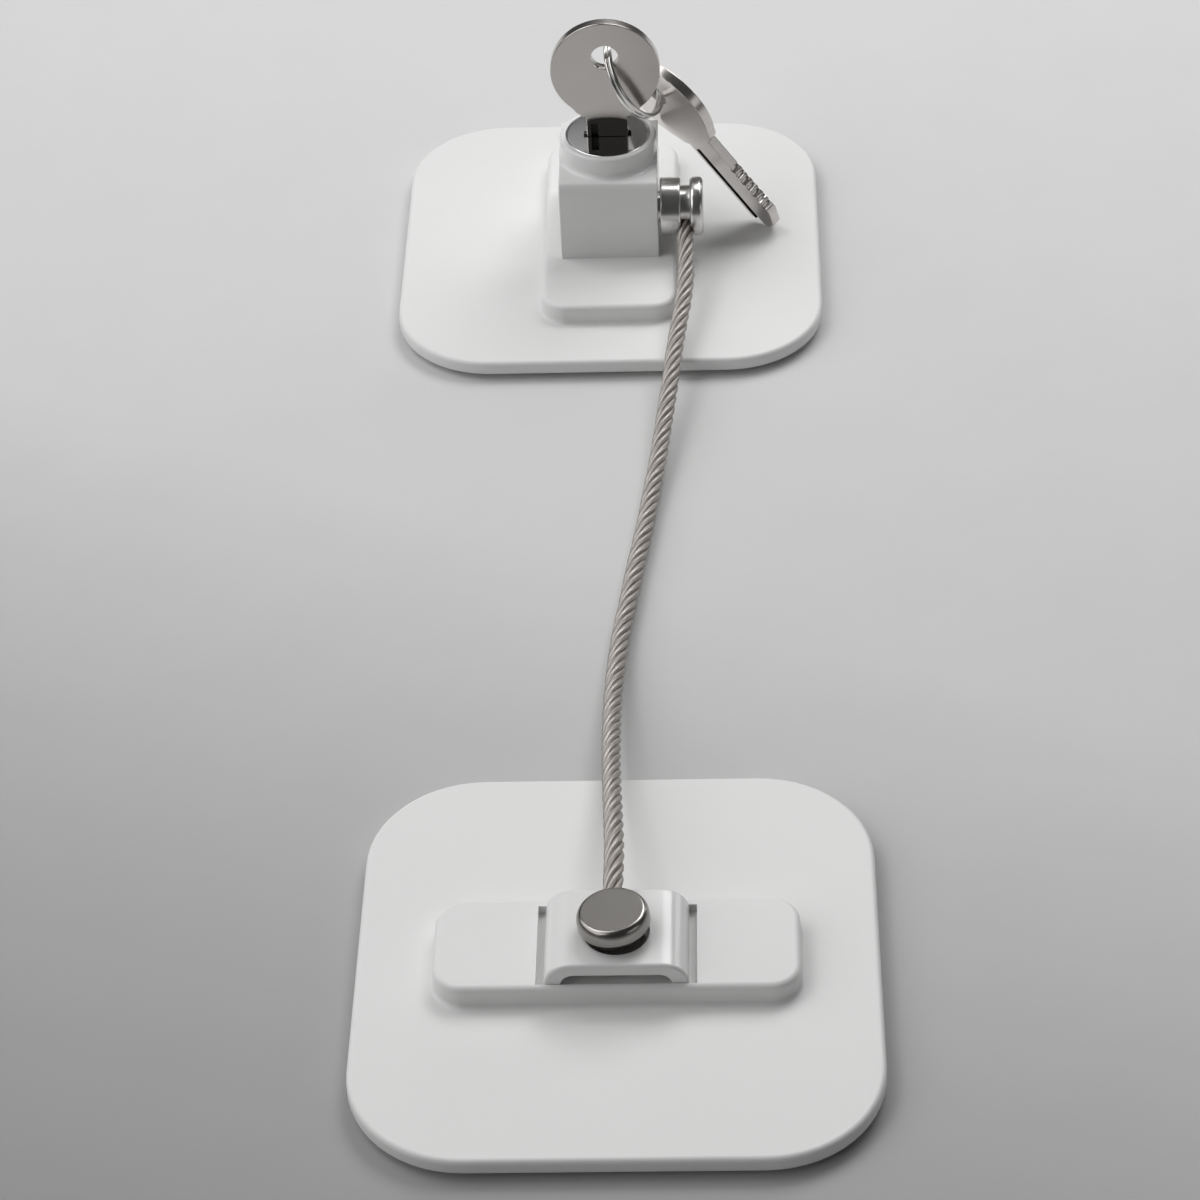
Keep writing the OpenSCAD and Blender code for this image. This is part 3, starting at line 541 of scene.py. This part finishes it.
# The outline goes round the bow from shoulder to shoulder, down one flank to the tip and up the other
round_bow = [math.radians(-50 + 280 * step / 110) for step in range(111)]
flank = [(5.25, 4.75), (4.4, 4.2), (blade_half, 3.95), (blade_half, -13.6), (1.22, -16.6)]
outline = [(bow_r * math.cos(a), bow_up + bow_r * math.sin(a)) for a in round_bow]
outline += [(-x, z) for x, z in flank] + flank[::-1]
sheet = bpy.data.meshes.new("key_in_lock_blank")
sheet.from_pydata([Vector((x, key_half, z)) * mm for x, z in outline], [], [range(len(outline))])
key = bpy.data.objects.new("key_in_lock_blank", sheet)
bpy.context.collection.objects.link(key)
bpy.ops.object.select_all(action="DESELECT")
key.select_set(True)
bpy.context.view_layer.objects.active = key
edit()
bpy.ops.mesh.extrude_region_move(TRANSFORM_OT_translate={"value": (0, -2 * key_half * mm, 0)})
pick("edges", in_front_plane)
bpy.ops.mesh.bevel(offset=key_edge * mm, segments=4, affect="EDGES")
done()
cut(key, rod("bow_hole", bow_hole_r, (0, 5, bow_hole_up), (0, -5, bow_hole_up), 64))
for number, depth in enumerate(cut_depths):
    level = first_cut - wafer_pitch * number
    notch = block("notch", (blade_half - depth, -3, level - wafer_pitch / 2),
                  (blade_half + depth, 3, level + wafer_pitch / 2))
    edit()
    pick("faces", lambda face: face.normal.x < -0.9)
    bpy.ops.transform.resize(value=(1, 1, 1 / 3), center_override=(0, 0, level * mm))
    done()
    cut(key, notch)
for side in (-1, 1):
    cut(key, block("milled_groove", (groove_left, side * key_half - groove_deep, -20),
                   (groove_right, side * key_half + groove_deep, groove_top)))
finish_edges(key, 0.07, 2, 40)
# The grooves get a near-black, dull nickel: painted shade in the milled recesses
groove_shade_faces = [
    face.index for face in key.data.polygons
    if (groove_left - 0.03) * mm < face.center.x < (groove_right + 0.07) * mm
    and abs(face.center.y) < (key_half - 0.02) * mm and face.center.z < (groove_top + 0.1) * mm]
groove_painted_shade = metal("groove_painted_shade", (0.05, 0.048, 0.046), (0.10, 0.097, 0.094),
                      clouds=900, rough=0.35, uneven=0.15, grain=2200)
spare_key = key.copy()
spare_key.data = key.data.copy()
spare_key.name = spare_key.data.name = "spare_key_blank"
bpy.context.collection.objects.link(spare_key)
key.data.transform(Matrix.Translation((0, 0, rim * mm)))
inserted_nickel = key_nickel("inserted_key_nickel", (0.57, 0.545, 0.525), (rim + neck_top) * mm)
dress(key, inserted_nickel, "key_in_lock", "key_nickel", "inserted_key")

# Split ring: two turns of nickelled wire pressed together, with a step where one turn passes to the other.
# It hangs in the hole of the key in the lock.
ring_r, ring_wire, ring_steps = 8.0, 0.85, 240
step_at, step_half, end_gap = math.radians(150), 0.05, 0.045
ring_turn, ring_dip, ring_roll = math.radians(38), math.radians(45.5), math.radians(42.5)
ring_hang = Vector((0.55, 0, 41.8))
ring_way = Vector((math.cos(ring_turn) * math.cos(ring_dip), math.sin(ring_turn) * math.cos(ring_dip),
                   -math.sin(ring_dip)))
ring_place = (Matrix.Translation((ring_hang + ring_r * ring_way) * mm) @ Matrix.Rotation(ring_turn, 4, "Z")
              @ Matrix.Rotation(ring_dip, 4, "Y") @ Matrix.Rotation(ring_roll, 4, "X"))


def drawn_wire(name, strands, radius, sides, ridges=0, ridge_depth=0.0):
    """A mesh of wires: each strand is a list of (centre, out, across). Ridges stand for finer wires."""
    points, faces = [], []
    for strand in strands:
        first = len(points)
        for centre, out, across in strand:
            for k in range(sides):
                a = math.tau * k / sides
                reach = radius * (1 - ridge_depth * (1 - math.cos(ridges * a)) / 2)
                points.append(centre + reach * (math.cos(a) * out + math.sin(a) * across))
        for i in range(len(strand) - 1):
            for k in range(sides):
                here, there = first + i * sides, first + (i + 1) * sides
                faces.append((here + k, here + (k + 1) % sides, there + (k + 1) % sides, there + k))
        faces.append(tuple(first + k for k in reversed(range(sides))))
        faces.append(tuple(first + (len(strand) - 1) * sides + k for k in range(sides)))
    mesh = bpy.data.meshes.new(name)
    mesh.from_pydata(points, [], faces)
    piece = bpy.data.objects.new(name, mesh)
    bpy.context.collection.objects.link(piece)
    bpy.ops.object.select_all(action="DESELECT")
    piece.select_set(True)
    bpy.context.view_layer.objects.active = piece
    edit()
    done()
    bpy.ops.object.shade_smooth_by_angle(angle=math.radians(60))
    return piece


turn_half = 0.45 * ring_wire
two_turns = []
for i in range(ring_steps + 1):
    turn = end_gap + (2 - 2 * end_gap) * i / ring_steps
    rise = max(-1, min(1, (turn - 1) / step_half))
    a = step_at + math.tau * turn
    out = Vector((math.cos(a), math.sin(a), 0))
    place = ring_r * out + Vector((0, 0, turn_half * math.sin(rise * math.pi / 2)))
    two_turns.append((place * mm, out, Vector((0, 0, 1))))
split_ring = drawn_wire("split_ring_wire", [two_turns], ring_wire / 2 * mm, 16)
split_ring.data.transform(ring_place)
bright_nickel = metal("ring_nickel", (0.62, 0.61, 0.60), (0.72, 0.71, 0.70),
                      clouds=500, rough=0.14, uneven=0.10, grain=1800)
dress(split_ring, bright_nickel, "key_ring", "ring_nickel", "split_ring")

# Spare key: a second key from the same blank, plated alike and satin all over; its nickel is painted paler
# than the other key's, as painted light. It hangs on the far side of the ring, leaning so that its tip is
# just above the lock plate.
ring_far = ring_hang + 2 * ring_r * ring_way
spare_hole, hole_to_tip, tip_gap = Vector((0.55, 0, 16.3)), 32.9, 1.5
spare_tilt, spare_turn = math.radians(-12), math.radians(-55)
spare_lean = math.acos((ring_far.z - plate_top / mm - tip_gap) / hole_to_tip / math.cos(spare_tilt))
spare_key.data.transform(
    Matrix.Translation(ring_far * mm) @ Matrix.Rotation(spare_tilt, 4, "X")
    @ Matrix.Rotation(-spare_lean, 4, "Y") @ Matrix.Rotation(spare_turn, 4, "Z")
    @ Matrix.Translation(-spare_hole * mm))
below_all = -1.0
# A paler copy of the key's nickel: painted light, not a different plating
spare_nickel_painted_lighter = key_nickel("spare_key_nickel_painted_lighter", (0.68, 0.65, 0.63), below_all)
dress(spare_key, spare_nickel_painted_lighter, "spare", "key_nickel", "spare_key")
# Both keys take the dark nickel in their grooves as painted shade
for stamped in (key, spare_key):
    stamped.data.materials.append(groove_painted_shade)
    for number in groove_shade_faces:
        stamped.data.polygons[number].material_index = 1

# Latch pin: turned from steel and chromed. Its shank has a waist that the plug's tail locks; outside the
# housing it has a flange, a groove that the rope enters, and a round head to pull it by.
rope_route = [Vector(p) * mm for p in (
    (13.5, -6.6, 14.5), (13.5, -11, 12.2), (13.6, -17, 10.3), (13.3, -24, 8.7), (12.4, -31, 7.3),
    (11.5, -38, 6.2), (10.7, -46, 5), (9.8, -54, 3.8), (8.9, -62, 2.7), (8, -69, 2), (7.1, -76, 1.6),
    (6.2, -83, 1.5), (5.2, -90, 1.5), (4.2, -98, 1.5), (3.3, -105, 1.6), (2.6, -112, 1.9),
    (2.2, -119, 2.5), (2, -126, 3.5), (2, -133, 5), (2.1, -140, 6.6), (2.3, -147, 8.4),
    (2.6, -154, 10.1), (2.9, -161, 11.6), (3.1, -167, 12.4), (3.1, -171.5, 12.6), (3.1, -176, 12.5),
    (3.3, -181.1, 11.2))]
shank_r, waist_r, waist_half, pin_head_r, rope_groove_r = 2.8, 1.3, 3.58, 5.2, 3.8
flange_from, flange_to, head_from, head_to = 9.1, 12.7, 14.3, 16.7


def bore_for_rope(piece, end, onward):
    """Bores a piece from the rope's end outwards, where the rope is pressed in."""
    way_out = (onward - end).normalized()
    cut(piece, rod("rope_bore", 1.6, end / mm, end / mm + 12 * way_out, 48))


latch_pin = turned("latch_pin_turning", [
    (2.2, -6.38), (shank_r, -5.78), (shank_r, -waist_half), (waist_r, -waist_half), (waist_r, waist_half),
    (shank_r, waist_half), (shank_r, flange_from)]
    + low_edge(pin_head_r, flange_from, 0.3, 4) + top_edge(pin_head_r, flange_to, 0.35, 4)
    + [(rope_groove_r, flange_to), (rope_groove_r, head_from)]
    + low_edge(pin_head_r, head_from, 0.7, 6) + top_edge(pin_head_r, head_to, 0.8, 7))
pin_place = Matrix.Translation(Vector((0, pin_y, pin_z)) * mm) @ Matrix.Rotation(math.pi / 2, 4, "Y")
latch_pin.data.transform(pin_place)
bore_for_rope(latch_pin, rope_route[0], rope_route[1])
finish_edges(latch_pin, 0.1, 3, 30)
pin_chrome = metal("pin_chrome", (0.64, 0.63, 0.62), (0.72, 0.71, 0.70),
                   clouds=400, rough=0.22, uneven=0.05, grain=1500)
dress(latch_pin, pin_chrome, "cable", "pin_chrome", "latch_pin")

# Wire rope: six strands laid right-handed round a core, each of fine stainless wires laid the other
# way. Its ends are pressed into the latch pin and the anchor stud, and it lies on the floor in between.
rope_d, strand_count, strand_lay, wire_lay = 3.0 * mm, 6, 15.0 * mm, 40.0 * mm
strand_out, strand_r, wire_count, wire_groove = 1.01 * mm, 0.49 * mm, 8, 0.14


def smooth_path(points, spacing):
    """Even steps along a smooth curve through the points."""
    ends = [2 * points[0] - points[1], *points, 2 * points[-1] - points[-2]]
    fine = []
    for a, b, c, d in zip(ends, ends[1:], ends[2:], ends[3:]):
        for k in range(24):
            t = k / 24
            fine.append(0.5 * (2 * b + (c - a) * t + (2 * a - 5 * b + 4 * c - d) * t * t
                               + (3 * b - a - 3 * c + d) * t ** 3))
    fine.append(points[-1])
    run = [0.0]
    for a, b in zip(fine, fine[1:]):
        run.append(run[-1] + (b - a).length)
    count = round(run[-1] / spacing)
    path, k = [], 0
    for i in range(count + 1):
        want = run[-1] * i / count
        while k < len(run) - 2 and run[k + 1] < want:
            k += 1
        path.append(fine[k].lerp(fine[k + 1], (want - run[k]) / (run[k + 1] - run[k])))
    return path, run[-1]


rope_path, rope_length = smooth_path(rope_route, 0.5 * mm)
way = [(rope_path[min(i + 1, len(rope_path) - 1)] - rope_path[max(i - 1, 0)]).normalized()
       for i in range(len(rope_path))]
side = way[0].cross(Vector((0, 0, 1))).normalized()
rope_frames = []
for i, along in enumerate(way):
    side = (side - along * side.dot(along)).normalized()
    rope_frames.append((rope_path[i], along, side, along.cross(side)))
strands = [[(point, a, b) for point, along, a, b in rope_frames]]
for strand in range(strand_count):
    line = []
    for i, (point, along, a, b) in enumerate(rope_frames):
        run = rope_length * i / (len(rope_frames) - 1)
        turn = math.tau * (run / strand_lay + strand / strand_count)
        out = math.cos(turn) * a + math.sin(turn) * b
        sweep = math.cos(turn) * b - math.sin(turn) * a
        across = (along + sweep * math.tau * strand_out / strand_lay).normalized().cross(out)
        twist = -math.tau * run / wire_lay
        line.append((point + strand_out * out, math.cos(twist) * out + math.sin(twist) * across,
                     math.cos(twist) * across - math.sin(twist) * out))
    strands.append(line)
rope = drawn_wire("wire_rope_strands", strands, strand_r, 4 * wire_count, wire_count, wire_groove)
rope_steel = metal("rope_steel", (0.40, 0.375, 0.355), (0.50, 0.47, 0.445),
                   clouds=700, rough=0.50, uneven=0.12, grain=2600, cloud_detail=4)
dress(rope, rope_steel, "cable", "rope_steel", "wire_rope")

# Anchor stud: turned from steel and nickelled, with a flange, a rope groove and a flat head that still shows
# its turning marks. It leans and turns freely in the bracket, and a clip under the bar holds it.
stud_pivot, stud_nod, stud_lean = Vector((3.5, -181.15, 9.55)), math.radians(-3), math.radians(-5.5)
stud_place = (Matrix.Translation(stud_pivot * mm) @ Matrix.Rotation(stud_lean, 4, "Y")
              @ Matrix.Rotation(stud_nod, 4, "X"))
stud_clip_r, stud_flange_r, stud_head_r, turning_pitch = 2.2, 4.1, 5.25, 0.5
stud_foot, stud_clip_low, stud_clip_high = -7.19, -6.84, -5.94
stud_flange_low, stud_flange_high, stud_head_low, stud_head_high = -2.9, 0.9, 2.4, 4.9
stud = turned("anchor_stud_turning", [
    (shank_r, stud_foot), (shank_r, stud_clip_low), (stud_clip_r, stud_clip_low),
    (stud_clip_r, stud_clip_high), (shank_r, stud_clip_high), (shank_r, stud_flange_low),
    (stud_flange_r, stud_flange_low), (stud_flange_r, stud_flange_high), (rope_groove_r, stud_flange_high),
    (rope_groove_r, stud_head_low)]
    + low_edge(stud_head_r, stud_head_low, 0.2, 4) + top_edge(stud_head_r, stud_head_high, 0.9, 9, 1.5))
stud.data.transform(stud_place)
bore_for_rope(stud, rope_route[-1], rope_route[-2])
finish_edges(stud, 0.1, 3, 30)
# The turning marks are rings about the stud's own axis
stud_nickel, tone, shader, where = new_finish("stud_nickel", Metallic=1.0)
on_stud = tone.node("ShaderNodeMapping", {"vector_type": "TEXTURE"}, {
    "Vector": where, "Location": stud_pivot * mm, "Rotation": (stud_nod, stud_lean, 0)})
across = tone.node("ShaderNodeSeparateXYZ", None, {0: on_stud}, out=0)
along = tone.node("ShaderNodeSeparateXYZ", None, {0: on_stud}, out=1)
radius = tone.maths("SQRT", across * across + along * along)
marks = tone.maths("SINE", radius * (math.tau / (turning_pitch * mm)))
shade_between(tone, speckle(tone, where, 300, 4), (0.30, 0.287, 0.275), (0.34, 0.327, 0.315)).into(
    shader, "Base Color")
(0.24 + 0.03 * speckle(tone, where, 900)).into(shader, "Roughness")
tone.node("ShaderNodeBump", None, {"Strength": 0.025, "Distance": 0.02 * mm, "Height": marks}).into(
    shader, "Normal")
dress(stud, stud_nickel, "cable", "stud_nickel", "anchor_stud")

# Stud washer: a plain washer stamped from steel and zinc plated like the screws. It lies between the bar
# and the stud's clip.
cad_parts["stud_washer"].material_slots[0].material = screw_steel

# Anchor plate: the same white moulding as the lock's, with its bar lying across. A shallow pocket in the bar
# seats the bracket, with slots for the bracket's hooks and a bore for the stud.
anchor_x, anchor_y, anchor_bar_depth = 3.5, -180.0, 18 * mm
stud_y, bracket_y = stud_pivot.y, anchor_y - 0.45
seat_x, seat_y, seat_floor, side_slot_x, side_slot_floor = 11.4, 7.7, 6, 10.2, 5.6
stud_bore_r, hook_out, hook_thick = 3.74, 9.8, 1.4
hook_slot_x, hook_slot_y = 0.8, 2.6
anchor_plate = moulded_plate(
    "anchor_plate_moulding", anchor_x * mm, anchor_y * mm, bar_length, anchor_bar_depth)
cut(anchor_plate, block("pocket", (anchor_x - seat_x, bracket_y - seat_y, seat_floor),
                        (anchor_x + seat_x, bracket_y + seat_y, 9)))
cut(anchor_plate, rod("stud_bore", stud_bore_r, (anchor_x, stud_y, 4), (anchor_x, stud_y, 9)))
for side in (-1, 1):
    inner, outer = sorted((anchor_x + side * side_slot_x, anchor_x + side * seat_x))
    cut(anchor_plate, block("side_slot", (inner, bracket_y - seat_y, side_slot_floor),
                            (outer, bracket_y + seat_y, 9)))
    middle = anchor_x + side * (hook_out - hook_thick / 2)
    cut(anchor_plate, block("hook_slot", (middle - hook_slot_x, bracket_y - hook_slot_y, 4),
                            (middle + hook_slot_x, bracket_y + hook_slot_y, 9)))
finish_edges(anchor_plate, 0.15, 2, 40)
dress(anchor_plate, matt_white, "anchor", "white_plastic", "anchor_base_plate")

# Anchor bracket: a small bridge over the stud, moulded in the housing's glossy white plastic. Two hooks
# under it snap through the slots in the bar.
bracket_x, bracket_depth, bracket_top, bracket_shoulder, bracket_edge = 10.3, 7.6, 10.5, 3.8, 0.5
arch_x, arch_top, arch_shoulder, stud_hole_r = 7.9, 8.6, 1.9, 4.8
barb_low, barb_high, barb_out, hook_low, hook_high = 3.55, 4.75, 0.5, 4.7, 6.1
hook_front, hook_back = bracket_y - 2.5, bracket_y + 2.5


def round_shoulders(top, shoulder, segments):
    """In edit mode, rounds the two top edges that run from front to back."""
    pick("edges", lambda edge: at_level(edge, top * mm)
         and abs(edge.verts[0].co.x - edge.verts[1].co.x) < 1e-6)
    bpy.ops.mesh.bevel(offset=shoulder * mm, segments=segments, affect="EDGES")


bracket = block("bracket_moulding", (anchor_x - bracket_x, bracket_y - bracket_depth, seat_floor),
                (anchor_x + bracket_x, bracket_y + bracket_depth, bracket_top))
edit()
round_shoulders(bracket_top, bracket_shoulder, 14)
pick("edges", lambda edge: not at_level(edge, seat_floor * mm) and in_front_plane(edge)
     and len(edge.link_faces) == 2 and edge.calc_face_angle() > 0.6)
bpy.ops.mesh.bevel(offset=bracket_edge * mm, segments=4, affect="EDGES")
done()
arch = block("arch", (anchor_x - arch_x, bracket_y - 12, 5), (anchor_x + arch_x, bracket_y + 12, arch_top))
edit()
round_shoulders(arch_top, arch_shoulder, 8)
done()
cut(bracket, arch)
cut(bracket, rod("stud_hole", stud_hole_r, (anchor_x, stud_y, 5), (anchor_x, stud_y, 12), 96))
for side in (-1, 1):
    root, end = anchor_x + side * (hook_out - hook_thick), anchor_x + side * hook_out
    tip = anchor_x + side * (hook_out + barb_out)
    barb = block("barb", (min(root, tip), hook_front, barb_low), (max(root, tip), hook_back, barb_high))
    edit()
    pick("edges", lambda edge: at_level(edge, barb_low * mm) and all(
        abs(v.co.x - tip * mm) < 1e-6 for v in edge.verts))
    bpy.ops.transform.translate(value=(-side * barb_out * mm, 0, 0))
    done()
    hook = block("hook", (min(root, end), hook_front, hook_low), (max(root, end), hook_back, hook_high))
    cut(bracket, hook, "UNION")
    cut(bracket, barb, "UNION")
finish_edges(bracket, 0.15, 2, 40)
dress(bracket, gloss_white, "anchor", "white_plastic", "anchor_bracket")
